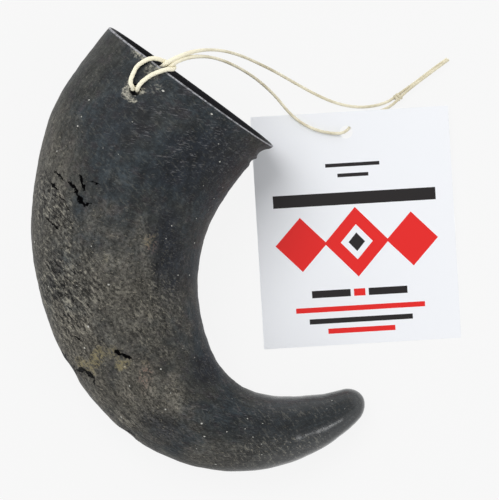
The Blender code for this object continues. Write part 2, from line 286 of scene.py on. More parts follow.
def makeStringMaterial():
    # natural cotton cord, ivory where it is clean, greyer and browner where it has been handled
    material, tree, shader = newMaterial("natural cotton string")
    maths, remap, mixed, _ = shaderTools(tree)
    place = addNode(tree, "ShaderNodeTexCoord").outputs["Object"]
    across = addNode(tree, "ShaderNodeSeparateXYZ", None, {"Vector": place}).outputs["X"]
    handled = remap(across, string["handledFrom"], string["handledFull"], easing="LINEAR")
    stains = addNode(tree, "ShaderNodeTexNoise", None, {
        "Vector": place, "Scale": string["stainScale"], "Detail": 3.0}).outputs["Fac"]
    stained = remap(stains, 0.35, 0.68, 0.2, 1.0, "LINEAR")
    amount = maths("MULTIPLY", handled, stained)
    cord = mixed(amount, linearColour(string["clean"]), linearColour(string["handled"]))
    fibres = addNode(tree, "ShaderNodeTexNoise", None, {
        "Vector": place, "Scale": string["fibreScale"], "Detail": 2.0}).outputs["Fac"]
    fleck = remap(fibres, 0.3, 0.7, 0.84, 1.04, "LINEAR")
    tinted = mixed(1.0, cord, fleck, "MULTIPLY")
    bump = addNode(tree, "ShaderNodeBump", None, {
        "Height": fibres, "Strength": 0.5, "Distance": string["fibreHeight"]}).outputs["Normal"]
    tree.links.new(tinted, shader.inputs["Base Color"])
    tree.links.new(bump, shader.inputs["Normal"])
    shader.inputs["Roughness"].default_value = 0.85
    shader.inputs["Specular IOR Level"].default_value = 0.25
    shader.inputs["Sheen Weight"].default_value = 0.15
    return material


def cordRadiusAt(point):
    # full at the hitch, thinner along the free run, thinnest past the knot
    atHitch = smoothStep(point[:, 0], string["hitchStart"], string["hitchFull"])
    pastKnot = smoothStep(point[:, 0], string["tailStart"], string["tailFull"])
    radius = string["midRadius"] + (string["hitchRadius"] - string["midRadius"]) * atHitch
    return radius + (string["tailRadius"] - string["midRadius"]) * pastKnot


def sweepCord(name, line, radii, material):
    # a tube along the line, with one lobe for each yarn, and the lobes turning as they go
    sides = string["sides"]
    bm = unitTube(sides, len(line))
    bmesh.ops.holes_fill(bm, edges=bm.edges, sides=sides)
    ring, angle = placesInTube(bm)
    headings = np.gradient(line, axis=0)
    headings /= np.linalg.norm(headings, axis=1)[:, None]
    side = np.cross(headings[0], (0.0, 0.0, 1.0))
    sideways = []
    for heading in headings:
        side = side - heading * side.dot(heading)
        side = side / np.linalg.norm(side)
        sideways.append(side)
    sideways = np.array(sideways)
    upwards = np.cross(headings, sideways)
    gone = np.concatenate([[0.0], np.cumsum(np.linalg.norm(np.diff(line, axis=0), axis=1))])
    turn = 2 * math.pi * gone[ring] / string["twistLength"]
    lobe = 1 + string["yarnDepth"] * np.cos(string["yarns"] * (angle - turn))
    reach = (radii[ring] * lobe)[:, None]
    around = sideways[ring] * np.cos(angle)[:, None] + upwards[ring] * np.sin(angle)[:, None]
    placeVerts(bm, line[ring] + around * reach)
    return newPiece(name, bm, material)


def makeStringPiece(name, read, start, end, leaves, material):
    steps = round((end - start) / string["ringSpacing"])
    line = np.array([read(start + (end - start) * i / steps) for i in range(steps + 1)])
    piece = sweepCord(name, line, cordRadiusAt(line), material)
    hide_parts("string")
    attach(piece, "root")
    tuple(leaves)


def makeKnot(material):
    turn = knot["turn"]
    axis = np.array([math.cos(turn), math.sin(turn), 0.0])
    across = np.array([-math.sin(turn), math.cos(turn), 0.0])
    up = np.array([0.0, 0.0, 1.0])
    line = []
    for i in range(knot["steps"] + 1):
        share = i / knot["steps"]
        angle = 2 * math.pi * knot["turns"] * share - math.pi / 2
        fromEnd = min(1.0, share / knot["tuckShare"], (1 - share) / knot["tuckShare"])
        tuck = knot["tuckedReach"] + (1 - knot["tuckedReach"]) * math.sin(math.pi * fromEnd / 2)
        offset = across * math.cos(angle) * knot["acrossRadius"]
        offset = offset + up * math.sin(angle) * knot["upRadius"]
        middle = np.array(knot["middle"]) + axis * knot["length"] * (share - 0.5)
        line.append(middle + offset * tuck)
    line = np.array(line)
    piece = sweepCord("knot_wraps", line, np.full(len(line), knot["cordRadius"]), material)
    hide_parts("string")
    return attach(piece, "root")


def makeString():
    material = makeStringMaterial()
    knots, read = smoothCurve(string["route"])
    meeting = string["meetingPoint"]
    wraps = makeKnot(material)
    makeStringPiece("string_under_rim", read, 0.0, knots[meeting], string["rimExit"], material)
    makeStringPiece("string_through_hole", read, knots[meeting], knots[-1], string["holeExit"],
                    material)


makeString()
print("string made")


# The horn
horn = {
    # outer x, outer y, inner x, inner y and depth of each section, from the sawn mouth to the tip
    "sections": [
        (-0.0334, 0.0849, 0.0286, 0.0396, 0.0570),
        (-0.0452, 0.0698, 0.0193, 0.0322, 0.0562),
        (-0.0560, 0.0508, 0.0099, 0.0197, 0.0550),
        (-0.0625, 0.0230, 0.0034, 0.0073, 0.0522),
        (-0.0634, 0.0040, 0.0009, -0.0016, 0.0500),
        (-0.0611, -0.0120, -0.0002, -0.0103, 0.0475),
        (-0.0566, -0.0274, 0.0000, -0.0181, 0.0446),
        (-0.0500, -0.0428, 0.0014, -0.0268, 0.0412),
        (-0.0395, -0.0578, 0.0036, -0.0344, 0.0372),
        (-0.0209, -0.0742, 0.0082, -0.0440, 0.0322),
        (-0.0044, -0.0816, 0.0138, -0.0501, 0.0288),
        (0.0160, -0.0845, 0.0209, -0.0540, 0.0258),
        (0.0350, -0.0814, 0.0318, -0.0560, 0.0218),
        (0.0480, -0.0755, 0.0414, -0.0556, 0.0182),
        (0.0576, -0.0688, 0.0505, -0.0546, 0.0148),
        (0.0658, -0.0606, 0.0606, -0.0518, 0.0104),
    ],
    "tipRounding": 0.0052,
    "squareness": 2.3,
    "mouthLean": math.radians(4.0),
    "leanReach": 0.040,
    "sides": 220,
    "outerRings": 285,
    "tipRings": 8,
    "hollowRings": 46,
    "hollowEndRings": 10,
    "sawnRings": 3,
    "mouthRings": 3,  # the close rings on each side of the sawn face, as ringDistances sets them
    "firstHollowRing": 0.001,
    "firstOuterRing": 0.0006,
    "edgeRounding": 0.0003,
    # the hollow that the bony core left
    "wallAtMouth": 0.0032,
    "wallDeep": 0.0085,
    "wallGrowth": 1.5,  # above 1, most of the growth comes deep in
    "hollowLength": 0.118,
    "hollowRounding": 0.032,
    # relief
    "lumpHeight": 0.0003,
    "lumpSize": 0.019,
    "swellHeight": 0.00005,
    "swellSpacing": 0.0105,
    "rimCalm": 0.006,
    "hollowCalm": 0.01,
    "growthLineHeight": 0.00007,
    "growthLineSpacing": 0.0017,
    "growthLineWaver": 1.3,
    "roughHeight": 0.0002,
    "roughSize": 0.0026,
    "roughEverywhere": 0.15,  # the share of the roughness outside the pitted patches
    "dentSharpness": 0.8,
    # the drilled hole
    "holeAt": (-0.0230, 0.0598),
    "holeDiameter": 0.0046,
    "holeDepth": 0.012,
    "holeSides": 40,
    "grainRadius": 0.028,
    "sharpEdge": math.radians(48.0),
}

# Chips and dents: middle, reach in plan along and across, reach up, turn in degrees, depth
hornDents = [
    {"at": (0.0252, 0.0362, 0.028), "reach": (0.0030, 0.0050, 0.019), "turn": 40, "depth": 0.0013},
    {"at": (0.0212, 0.0333, 0.030), "reach": (0.0020, 0.0040, 0.014), "turn": 44, "depth": 0.0009},
    {"at": (-0.0484, -0.0452, 0.021), "reach": (0.0052, 0.0030, 0.009), "turn": 128, "depth": 0.0007},
    {"at": (-0.0278, -0.0704, 0.016), "reach": (0.0052, 0.0028, 0.008), "turn": 146, "depth": 0.0006},
    {"at": (-0.0422, -0.0468, 0.034), "reach": (0.0040, 0.0026, 0.006), "turn": -20, "depth": 0.0008},
    {"at": (-0.0290, -0.0520, 0.036), "reach": (0.0042, 0.0030, 0.006), "turn": 50, "depth": 0.0006},
]

# Patches of colour and wear by channel: middle in plan, reach, turn in degrees, strength
hornPatches = {
    "navy": [
        ((-0.0110, 0.0000), (0.0065, 0.0185), 0, 1.0),
        ((0.0030, 0.0330), (0.0190, 0.0130), 20, 0.9),
        ((0.0030, -0.0440), (0.0055, 0.0090), -30, 0.9),
        ((-0.0140, -0.0660), (0.0100, 0.0050), -25, 0.7),
        ((0.0330, -0.0655), (0.0210, 0.0080), 8, 0.6),
        ((-0.0250, 0.0500), (0.0120, 0.0100), 30, 0.5),
    ],
    "ochre": [
        ((-0.0378, -0.0402), (0.0032, 0.0044), 0, 1.0),
        ((-0.0285, -0.0432), (0.0044, 0.0022), 15, 0.8),
        ((-0.0420, -0.0440), (0.0050, 0.0026), -35, 0.7),
        ((-0.0330, -0.0385), (0.0070, 0.0032), -10, 0.5),
        ((-0.0197, -0.0404), (0.0026, 0.0030), 0, 0.45),
        ((-0.0175, 0.0040), (0.0040, 0.0034), 0, 0.30),
        ((-0.0190, -0.0160), (0.0028, 0.0110), 5, 0.22),
        ((-0.0355, -0.0030), (0.0024, 0.0030), 0, 0.22),
    ],
    "pitted": [
        ((-0.0500, -0.0150), (0.0110, 0.0190), 12, 1.0),
        ((-0.0400, -0.0120), (0.0080, 0.0120), 12, 0.6),
        ((-0.0540, 0.0170), (0.0070, 0.0130), 30, 0.75),
        ((-0.0320, -0.0640), (0.0140, 0.0060), -40, 0.5),
        ((-0.0160, -0.0240), (0.0100, 0.0160), 0, 0.35),
        ((0.0280, -0.0760), (0.0260, 0.0060), 12, 0.30),
        ((0.0330, -0.0610), (0.0180, 0.0050), 5, 0.12),
    ],
    "worn": [
        ((-0.0255, 0.0590), (0.0022, 0.0034), 0, 0.95),
        ((-0.0203, 0.0590), (0.0020, 0.0018), 30, 0.7),
        ((-0.0238, 0.0558), (0.0026, 0.0014), 0, 0.75),
        ((-0.0163, 0.0668), (0.0042, 0.0032), 35, 0.42),
        ((-0.0215, 0.0727), (0.0050, 0.0018), -35, 0.5),
        ((-0.0160, 0.0600), (0.0060, 0.0026), 20, 0.25),
        ((0.0230, 0.0340), (0.0040, 0.0060), 40, 0.15),
        ((-0.0430, 0.0640), (0.0060, 0.0140), 35, 0.15),
    ],
    # the warm patches: paler grey-brown, partly weathering and partly a painted reflection of the bright
    # surroundings along the left and lower edges
    "warmAndSheen": [
        ((-0.0440, -0.0360), (0.0130, 0.0230), 30, 0.9),
        ((-0.0240, -0.0480), (0.0120, 0.0120), 0, 0.75),
        ((-0.0560, 0.0180), (0.0120, 0.0420), 0, 0.55),
        ((-0.0200, -0.0080), (0.0060, 0.0230), 6, 0.55),
        ((-0.0340, -0.0180), (0.0280, 0.0340), 10, 0.65),
        ((-0.0220, -0.0560), (0.0210, 0.0150), -25, 0.8),
        ((0.0180, -0.0780), (0.0400, 0.0070), 5, 0.5),
    ],
    "scratched": [
        ((-0.0050, 0.0430), (0.0230, 0.0150), -15, 1.0),
        ((0.0100, 0.0360), (0.0150, 0.0110), -30, 0.7),
        ((0.0040, -0.0380), (0.0140, 0.0200), 20, 0.5),
        ((0.0060, -0.0620), (0.0250, 0.0120), 0, 0.5),
    ],
    "reddish": [
        ((-0.0196, -0.0478), (0.0026, 0.0048), 0, 0.8),
        ((-0.0172, 0.0020), (0.0026, 0.0030), 0, 0.6),
    ],
}

# The edge of a patch wanders, and the patch fades out across it
patchEdge = {
    "coarseWander": 170,  # in repeats a metre
    "fineWander": 480,
    "fineShare": 0.6,
    "wander": 0.45,
    "fullWithin": 0.35,
    "goneBeyond": 1.45,
}

# The channels of the two colour attributes that hold the weights, in red, green, blue and alpha
patchChannels = {
    "horn patches": ("navy", "ochre", "pitted", "worn"),
    "horn wear and sheen": ("warmAndSheen", "scratched", "reddish", "hollow"),
}

# Noises of the horn's skin. The scales are in repeats a metre, so 1000 is one millimetre. They run
# along the grain, or along X, Y and Z once the place is turned where a noise has a turn.
hornNoises = {
    "broad": {"scales": (38, 52, 52), "detail": 4.0, "rough": 0.55},
    "cloud": {"scales": (130, 190, 190), "detail": 5.0, "rough": 0.7},
    "streak": {"scales": (120, 620, 620), "detail": 5.0, "rough": 0.6},
    "grit": {"scales": (900, 1100, 1100), "detail": 4.0, "rough": 0.75},
    "speckle": {"scales": (900, 1700, 1300), "detail": 3.0, "rough": 0.7, "turn": 20.0},
    "scratch": {"scales": (330, 1900, 700), "detail": 3.0, "rough": 0.75, "turn": 10.0},
    "scratchAreas": {"scales": (260, 300, 300), "detail": 2.0, "rough": 0.55},
    "pits": {"scales": (300, 1050, 600), "detail": 3.0, "rough": 0.7, "turn": 48.0},
}

# The horn's colours, in the order in which they are laid on
hornColours = {
    "blueGround": "23292d",
    "greyGround": "2c2d2b",
    "brownGround": "292629",
    # the warm colour is partly weathering and partly painted reflection
    "warmAndSheen": "4e4b44",
    "navy": "14181f",
    "tip": "10171b",
    "fleck": "a39d8c",
    "scratch": "8a8a8c",
    "ochre": "857b59",
    "reddish": "8c6a5e",
    "worn": "a9a698",
    # a painted highlight on the raised edges of the pits
    "pitEdgeHighlight": "a7a395",
    # painted shade in the pits
    "pitShade": "0a0a0b",
    "spot": "c9c9c2",
    # painted shade inside the open cracks
    "crack": "020203",
    "hollowDark": "0d0e12",
    "hollowLight": "1a1a1e",
    # a painted highlight along the sawn rim's edge
    "sawnEdgeHighlight": "a3a3a8",
}

# The rest of the horn's look, in metres, with scales in repeats a metre
hornLook = {
    "tipStart": 0.150,  # along the horn's middle, where its skin turns darker and smoother
    "tipFull": 0.185,
    "tipGloss": 0.8,
    "spotScale": 300.0,
    "spotReach": 0.115,  # the largest spot, in spacings
    "crackWanderScale": 520.0,
    "crackWander": 0.0034,
    "upperFace": (0.002, 0.006),  # the cracks fade in between these heights of the grain
    # the painted highlight on the sawn edge fades in between these places along the horn
    "sawnEdgeHighlight": (0.0007, 0.0003),  # the pale edge fades in between these places along the horn
    "streakHeight": 0.00012,
    "heights": {"speckle": 0.00040, "grit": 0.00055, "cloud": 0.00080, "scratches": 0.00005},
    "pitDepth": 0.00045,
}

# Open cracks on the upper face, in plan, with their widths
hornCracks = [
    {"through": [(-0.0478, 0.0255), (-0.0452, 0.0231), (-0.0447, 0.0208)], "width": 0.0013},
    {"through": [(-0.0447, 0.0208), (-0.0422, 0.0171)], "width": 0.0019},
    {"through": [(-0.0422, 0.0171), (-0.0396, 0.0175)], "width": 0.0009},
    {"through": [(-0.0437, 0.0283), (-0.0425, 0.0250), (-0.0419, 0.0223)], "width": 0.0009},
    {"through": [(-0.0400, 0.0260), (-0.0380, 0.0256), (-0.0363, 0.0245)], "width": 0.0005},
    {"through": [(-0.0535, 0.0300), (-0.0500, 0.0266)], "width": 0.0006},
    {"through": [(-0.0553, 0.0262), (-0.0520, 0.0228)], "width": 0.0006},
    {"through": [(-0.0520, 0.0216), (-0.0493, 0.0180), (-0.0476, 0.0152)], "width": 0.0004},
    {"through": [(-0.0568, 0.0126), (-0.0545, 0.0103), (-0.0518, 0.0080)], "width": 0.0007},
    {"through": [(-0.0312, -0.0376), (-0.0283, -0.0392), (-0.0249, -0.0402)], "width": 0.0013},
    {"through": [(-0.0519, -0.0383), (-0.0490, -0.0425), (-0.0462, -0.0465)], "width": 0.0013},
    {"through": [(-0.0459, -0.0453), (-0.0426, -0.0449), (-0.0392, -0.0482)], "width": 0.0012},
    {"through": [(-0.0392, -0.0482), (-0.0390, -0.0506)], "width": 0.0005},
    {"through": [(-0.0460, -0.0322), (-0.0438, -0.0336)], "width": 0.0006},
    {"through": [(-0.0310, -0.0670), (-0.0275, -0.0684), (-0.0240, -0.0702)], "width": 0.0008},
]


def superellipse(angle):
    power = 2.0 / horn["squareness"]
    across = np.sign(np.cos(angle)) * np.abs(np.cos(angle)) ** power
    up = np.sign(np.sin(angle)) * np.abs(np.sin(angle)) ** power
    return across, up


def closing(along, end, reach):
    # how much of a section is left where a round end closes
    into = np.clip((along - end + reach) / reach, 0.0, 1.0)
    return np.sqrt(np.maximum(0.0, 1.0 - into ** 2))


def edgeShrink(along):
    # the sawn edge is a little rounded
    reach = horn["edgeRounding"]
    into = np.clip(1 - along / reach, 0.0, 1.0)
    return reach * (1 - np.sqrt(1 - into ** 2))


def ringDistances(end, reach, rings, endRings, firstGap):
    # three close rings at the mouth, even ones after them, and closer ones where the end rounds off
    straight = end - reach
    start = [0.0, firstGap / 3, firstGap]
    even = [firstGap + (straight - firstGap) * i / rings for i in range(1, rings + 1)]
    last = [straight + reach * math.sin(math.pi / 2 * i / endRings) for i in range(1, endRings + 1)]
    return np.array(start + even + last)


def sectionsAt(read, along):
    rows = np.array([read(a) for a in along])
    flat = np.zeros(len(along))
    outer = np.stack([rows[:, 0], rows[:, 1], flat], axis=1)
    inner = np.stack([rows[:, 2], rows[:, 3], flat], axis=1)
    width = np.linalg.norm(inner - outer, axis=1)
    across = (inner - outer) / width[:, None]
    toMouth = np.cross((0.0, 0.0, 1.0), across)
    lean = horn["mouthLean"] * np.maximum(0.0, 1.0 - along / horn["leanReach"])
    up = np.array([0.0, 0.0, 1.0]) * np.cos(lean)[:, None] - toMouth * np.sin(lean)[:, None]
    middle = (outer + inner) / 2
    middle[:, 2] = rows[:, 4] / 2 * np.cos(lean)
    return middle, across, up, width / 2, rows[:, 4] / 2


def noiseAt(points, size=1.0):
    return np.array([noise.noise(Vector(p) / size) for p in points])


def planReach(points, at, reach, degrees):
    # how far each point is from the middle of a turned oval in plan, in shares of its two reaches
    turn = math.radians(degrees)
    dx = points[:, 0] - at[0]
    dy = points[:, 1] - at[1]
    u = (dx * math.cos(turn) + dy * math.sin(turn)) / reach[0]
    v = (dy * math.cos(turn) - dx * math.sin(turn)) / reach[1]
    return u, v


def patchWeights(points):
    # the weight of every channel at every point, with edges that wander
    wander = np.array([
        noise.noise(Vector(p) * patchEdge["coarseWander"])
        + patchEdge["fineShare"] * noise.noise(Vector(p) * patchEdge["fineWander"])
        for p in points])
    weights = {}
    for channel, patches in hornPatches.items():
        weights[channel] = np.zeros(len(points))
        for at, reach, turn, strength in patches:
            u, v = planReach(points, at, reach, turn)
            far = np.sqrt(u ** 2 + v ** 2) + patchEdge["wander"] * wander
            weight = strength * (1 - smoothStep(far, patchEdge["fullWithin"], patchEdge["goneBeyond"]))
            weights[channel] = np.maximum(weights[channel], weight)
    return weights


def reliefAt(points, distance, angle, calm, pitted, onOutside, inHollow):
    # how far each point lies out from the smooth form: lumps, growth rings and roughness on the
    # outside, roughness alone in the hollow, and dents wherever they reach the outside
    lump = noiseAt(points, horn["lumpSize"]) * horn["lumpHeight"]
    swell = np.sin(2 * math.pi * distance / horn["swellSpacing"]) * horn["swellHeight"]
    waver = horn["growthLineWaver"]
    rings = np.stack([
        distance / horn["growthLineSpacing"], waver * np.cos(angle), waver * np.sin(angle)], axis=1)
    growth = noiseAt(rings) * horn["growthLineHeight"]
    rough = noiseAt(points, horn["roughSize"]) * horn["roughHeight"]
    outerRelief = (lump + swell + growth + rough * (horn["roughEverywhere"] + pitted)) * calm
    hollowRelief = rough * np.clip(distance / horn["hollowCalm"], 0.0, 1.0) * inHollow
    relief = np.where(onOutside, outerRelief, hollowRelief)
    for dent in hornDents:
        u, v = planReach(points, dent["at"], dent["reach"], dent["turn"])
        w = (points[:, 2] - dent["at"][2]) / dent["reach"][2]
        near = np.clip(1 - u ** 2 - v ** 2 - w ** 2, 0.0, 1.0) ** horn["dentSharpness"]
        relief -= near * dent["depth"] * ~inHollow
    return relief


def bendHorn(bm):
    # Bends the tube into the horn. Its rings run from the hollow's closed end out to the mouth,
    # over the sawn face and along the outside to the tip.
    hollowPlaces = ringDistances(
        horn["hollowLength"], horn["hollowRounding"], horn["hollowRings"], horn["hollowEndRings"],
        horn["firstHollowRing"])
    rows = np.array(horn["sections"])
    knots, read = smoothCurve(rows, (rows[:, 0:2] + rows[:, 2:4]) / 2)
    outerPlaces = ringDistances(
        knots[-1], horn["tipRounding"], horn["outerRings"], horn["tipRings"], horn["firstOuterRing"])
    sawn = horn["sawnRings"]
    hollowCount = len(hollowPlaces)
    along = np.concatenate([hollowPlaces[::-1], np.zeros(sawn), outerPlaces])
    middle, across, up, halfWidth, halfDepth = sectionsAt(read, along)
    count = len(along)
    inside = np.arange(count) < hollowCount
    share = np.clip(along / horn["hollowLength"], 0.0, 1.0)
    thicker = (horn["wallDeep"] - horn["wallAtMouth"]) * share ** horn["wallGrowth"]
    wall = horn["wallAtMouth"] + thicker
    sawnShare = np.clip((np.arange(count) - hollowCount + 1) / (sawn + 1), 0.0, 1.0)
    inset = np.where(inside, wall - edgeShrink(along), (1 - sawnShare) * wall + edgeShrink(along))
    left = np.where(
        inside,
        closing(along, horn["hollowLength"], horn["hollowRounding"]),
        closing(along, knots[-1], horn["tipRounding"]))
    ring, angle = placesInTube(bm)
    x, y = superellipse(angle)
    aside = (x * (halfWidth - inset)[ring] * left[ring])[:, None] * across[ring]
    upward = (y * (halfDepth - inset)[ring] * left[ring])[:, None] * up[ring]
    points = middle[ring] + aside + upward
    outwards = points - middle[ring]
    outwards /= np.maximum(np.linalg.norm(outwards, axis=1), 0.0001)[:, None]

    weights = patchWeights(points)
    distance = along[ring]
    calm = np.clip(distance / horn["rimCalm"], 0.0, 1.0) * left[ring]
    relief = reliefAt(
        points, distance, angle, calm, weights["pitted"], ring >= hollowCount + sawn, inside[ring])
    points = points + outwards * relief[:, None]
    points[:, 2] -= points[:, 2].min()

    grain = np.stack([
        distance,
        horn["grainRadius"] * np.cos(angle),
        horn["grainRadius"] * np.sin(angle),
    ], axis=1)
    weights["hollow"] = (ring < hollowCount + sawn).astype(float)
    return points, grain, weights


def hornColour(name):
    return linearColour(hornColours[name])


def makeHornMaterial():
    # dark keratin, dull and scraped, with a fibrous grain that runs along the horn
    material, tree, shader = newMaterial("dark keratin")
    maths, remap, _, _ = shaderTools(tree)
    # what the steps below read: the patches' weights, the noises and the masks that they add
    grain = addNode(tree, "ShaderNodeAttribute", {"attribute_name": "horn grain"})
    skin = {"grain": grain.outputs["Vector"]}
    readPatches(tree, skin)
    skin["place"] = addNode(tree, "ShaderNodeTexCoord").outputs["Object"]
    makeNoises(tree, skin)

    colour = layGround(tree, skin)
    colour = addWear(tree, skin, colour)
    colour = addPits(tree, skin, colour)
    colour = addSpots(tree, skin, colour)
    colour = addCracks(tree, skin, colour)
    colour = addHollowAndEdge(tree, skin, colour)
    bump = makeBump(tree, skin)

    roughness = remap(skin["cloud"], 0.3, 0.7, 0.46, 0.60)
    roughness = maths("SUBTRACT", roughness, maths("MULTIPLY", skin["towardsTip"], 0.16))
    roughness = maths("ADD", roughness, maths("MULTIPLY", skin["hollow"], 0.2))
    gloss = maths("MULTIPLY", skin["towardsTip"], hornLook["tipGloss"])
    shader.inputs["Specular IOR Level"].default_value = 0.2
    shader.inputs["Coat Roughness"].default_value = 0.22
    tree.links.new(gloss, shader.inputs["Coat Weight"])
    # the darkest places, such as cracks, give no highlight
    tree.links.new(remap(colour, 0.0012, 0.006), shader.inputs["Specular Tint"])
    tree.links.new(colour, shader.inputs["Base Color"])
    tree.links.new(roughness, shader.inputs["Roughness"])
    tree.links.new(bump, shader.inputs["Normal"])
    return material


def readPatches(tree, skin):
    for attribute, channels in patchChannels.items():
        read = addNode(tree, "ShaderNodeAttribute", {"attribute_name": attribute}).outputs
        parts = addNode(tree, "ShaderNodeSeparateColor", None, {"Color": read["Color"]}).outputs
        sockets = (parts["Red"], parts["Green"], parts["Blue"], read["Alpha"])
        skin.update(zip(channels, sockets))


def makeNoises(tree, skin):
    _, _, _, vectors = shaderTools(tree)
    for name, given in hornNoises.items():
        laid = skin["grain"]
        if "turn" in given:
            laid = addNode(tree, "ShaderNodeVectorRotate", {"rotation_type": "Z_AXIS"}, {
                "Vector": skin["place"], "Angle": math.radians(given["turn"])}).outputs["Vector"]
        skin[name] = addNode(tree, "ShaderNodeTexNoise", None, {
            "Vector": vectors("MULTIPLY", laid, given["scales"]), "Scale": 1.0,
            "Detail": given["detail"], "Roughness": given["rough"]}).outputs["Fac"]


def layGround(tree, skin):
    # mottled, with warm patches (weathering, and painted reflection along the left and lower edges), navy
    # patches and a darker tip, then clouded, streaked and gritty
    maths, remap, mixed, _ = shaderTools(tree)
    colour = mixed(remap(skin["broad"], 0.38, 0.62), hornColour("blueGround"), hornColour("greyGround"))
    colour = mixed(remap(skin["scratchAreas"], 0.52, 0.66, 0.0, 0.6), colour, hornColour("brownGround"))
    colour = mixed(skin["warmAndSheen"], colour, hornColour("warmAndSheen"))
    colour = mixed(maths("MULTIPLY", skin["navy"], 0.9), colour, hornColour("navy"))
    skin["along"] = addNode(tree, "ShaderNodeSeparateXYZ", None, {"Vector": skin["grain"]}).outputs["X"]
    skin["towardsTip"] = remap(skin["along"], hornLook["tipStart"], hornLook["tipFull"])
    colour = mixed(maths("MULTIPLY", skin["towardsTip"], 0.8), colour, hornColour("tip"))
    colour = mixed(1.0, colour, remap(skin["cloud"], 0.3, 0.7, 0.62, 1.45), "MULTIPLY")
    colour = mixed(1.0, colour, remap(skin["streak"], 0.3, 0.7, 0.75, 1.30), "MULTIPLY")
    coarse = maths("MULTIPLY", maths("MAXIMUM", skin["warmAndSheen"], skin["pitted"]), 0.7)
    skin["gritty"] = maths("ADD", coarse, 0.3)
    return mixed(skin["gritty"], colour, remap(skin["grit"], 0.34, 0.66, 0.15, 2.3), "MULTIPLY")


def addWear(tree, skin, colour):
    # pale flecks, scratches, ochre and reddish patches, and worn places
    maths, remap, mixed, _ = shaderTools(tree)
    flecks = remap(skin["speckle"], 0.60, 0.67)
    onWarm = maths("MULTIPLY", flecks, maths("ADD", maths("MULTIPLY", skin["warmAndSheen"], 0.6), 0.10))
    onPitted = maths("MULTIPLY", maths("MULTIPLY", flecks, skin["pitted"]), 0.3)
    colour = mixed(maths("ADD", onWarm, onPitted), colour, hornColour("fleck"))

    lines = remap(skin["scratch"], 0.56, 0.64)
    skin["scratches"] = maths("MULTIPLY", lines, remap(skin["scratchAreas"], 0.40, 0.56))
    strength = maths("ADD", maths("MULTIPLY", skin["scratched"], 0.30), 0.10)
    colour = mixed(maths("MULTIPLY", skin["scratches"], strength), colour, hornColour("scratch"))

    edge = remap(maths("ADD", skin["ochre"], maths("MULTIPLY", skin["cloud"], 1.5)), 0.95, 1.55)
    mottle = maths("ADD", maths("MULTIPLY", skin["grit"], 0.6), maths("MULTIPLY", skin["speckle"], 0.4))
    covered = maths("MULTIPLY", edge, remap(mottle, 0.44, 0.56))
    colour = mixed(maths("MULTIPLY", covered, 0.8), colour, hornColour("ochre"))

    covered = maths("MULTIPLY", skin["reddish"], remap(skin["grit"], 0.50, 0.62))
    colour = mixed(maths("MULTIPLY", covered, 0.55), colour, hornColour("reddish"))

    edge = remap(maths("ADD", skin["worn"], skin["grit"]), 0.72, 1.15)
    mottle = maths("ADD", maths("MULTIPLY", skin["grit"], 0.5), maths("MULTIPLY", skin["speckle"], 0.5))
    covered = maths("MULTIPLY", edge, remap(mottle, 0.40, 0.60, 0.10, 1.0))
    return mixed(covered, colour, hornColour("worn"))


def addPits(tree, skin, colour):
    # dark pits with light edges: the light edges are a painted highlight on the raised rims, and the black
    # is painted shade in the pits
    maths, remap, mixed, _ = shaderTools(tree)
    pitted = maths("ADD", skin["pitted"], 0.10, True)
    edge = maths("MULTIPLY", remap(skin["pits"], 0.56, 0.64), maths("MULTIPLY", pitted, 0.62))
    colour = mixed(edge, colour, hornColour("pitEdgeHighlight"))
    skin["pitMask"] = maths("MULTIPLY", remap(skin["pits"], 0.45, 0.40), pitted)
    return mixed(maths("MULTIPLY", skin["pitMask"], 0.95), colour, hornColour("pitShade"))


def addSpots(tree, skin, colour):
    # small white spots, in about a third of the cells
    maths, remap, mixed, _ = shaderTools(tree)
    cells = addNode(tree, "ShaderNodeTexVoronoi", {"feature": "F1"}, {
        "Vector": skin["grain"], "Scale": hornLook["spotScale"], "Randomness": 1.0}).outputs
    value = addNode(tree, "ShaderNodeSeparateColor", None, {"Color": cells["Color"]}).outputs["Red"]
    reach = maths("MULTIPLY", remap(value, 0.68, 1.0), hornLook["spotReach"])
    inSpot = maths("LESS_THAN", cells["Distance"], reach)
    return mixed(maths("MULTIPLY", inSpot, 0.8), colour, hornColour("spot"))


def addCracks(tree, skin, colour):
    # open cracks on the upper face, straight in plan until a noise shifts them, and painted near black as
    # the shade inside them
    maths, remap, mixed, vectors = shaderTools(tree)
    shift = addNode(tree, "ShaderNodeTexNoise", None, {
        "Vector": skin["place"], "Scale": hornLook["crackWanderScale"], "Detail": 4.0,
        "Roughness": 0.7}).outputs["Color"]
    centred = vectors("SUBTRACT", shift, (0.5, 0.5, 0.5))
    scaled = vectors("MULTIPLY", centred, (hornLook["crackWander"], hornLook["crackWander"], 0.0))
    flat = vectors("MULTIPLY", skin["place"], (1.0, 1.0, 0.0))
    wandering = vectors("ADD", flat, scaled)
    crackGroup = makeCrackGroup()
    cracks = 0.0
    for crack in hornCracks:
        for start, end in zip(crack["through"], crack["through"][1:]):
            node = addNode(tree, "ShaderNodeGroup", {"node_tree": crackGroup}, {
                "Point": wandering, "Start": (*start, 0.0), "End": (*end, 0.0), "Width": crack["width"]})
            cracks = maths("MAXIMUM", node.outputs["Depth"], cracks)
    grainUp = addNode(tree, "ShaderNodeSeparateXYZ", None, {"Vector": skin["grain"]}).outputs["Z"]
    skin["outside"] = maths("SUBTRACT", 1.0, skin["hollow"])
    upper = maths("MULTIPLY", remap(grainUp, *hornLook["upperFace"]), skin["outside"])
    cracks = maths("MULTIPLY", cracks, upper)
    cracks = maths("MULTIPLY", cracks, remap(skin["grit"], 0.32, 0.46, 0.45, 1.0))
    return mixed(remap(cracks, 0.12, 0.34), colour, hornColour("crack"))


